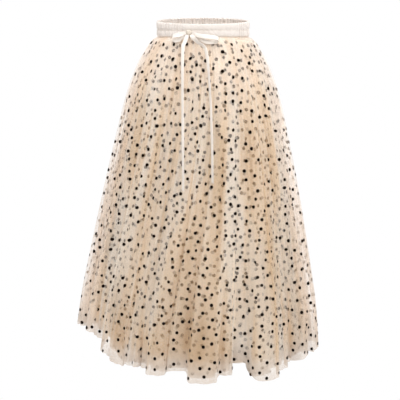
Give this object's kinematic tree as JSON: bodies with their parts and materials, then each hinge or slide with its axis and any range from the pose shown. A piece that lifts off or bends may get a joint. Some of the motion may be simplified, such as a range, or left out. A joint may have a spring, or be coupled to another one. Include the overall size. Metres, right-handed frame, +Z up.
{
  "type": "tulle midi skirt",
  "caption": "Gathered midi skirt: two layers of dotted net over an opaque lining, on an elastic waistband with a tied ribbon, hanging filled out.",
  "frame": {"origin": "centre of the waist, halfway up the waistband, where the wearer holds the skirt up", "axes": "+Z up out of the waist, -Y to the front where the ribbon is tied, +X to the right as seen in the picture"},
  "size_m": [0.6382, 0.5621, 0.8648],
  "materials": {
    "waistband": "matt woven cotton, gathered over elastic",
    "outer_tulle": "fine soft net with black flocked dots",
    "inner_tulle": "fine soft net with black flocked dots",
    "lining": "smooth satin",
    "ribbon": "soft flat woven ribbon"
  },
  "bodies": {
    "root": {"waistband_front": "waistband", "waistband_back": "waistband", "outer_tulle_front": "outer_tulle", "outer_tulle_back": "outer_tulle", "inner_tulle_front": "inner_tulle", "inner_tulle_back": "inner_tulle", "lining_front": "lining", "lining_back": "lining", "bow_knot": "ribbon", "bow_loop_left": "ribbon", "bow_loop_right": "ribbon", "tie_tail_left": "ribbon", "tie_tail_right": "ribbon"}
  },
  "joints": []
}
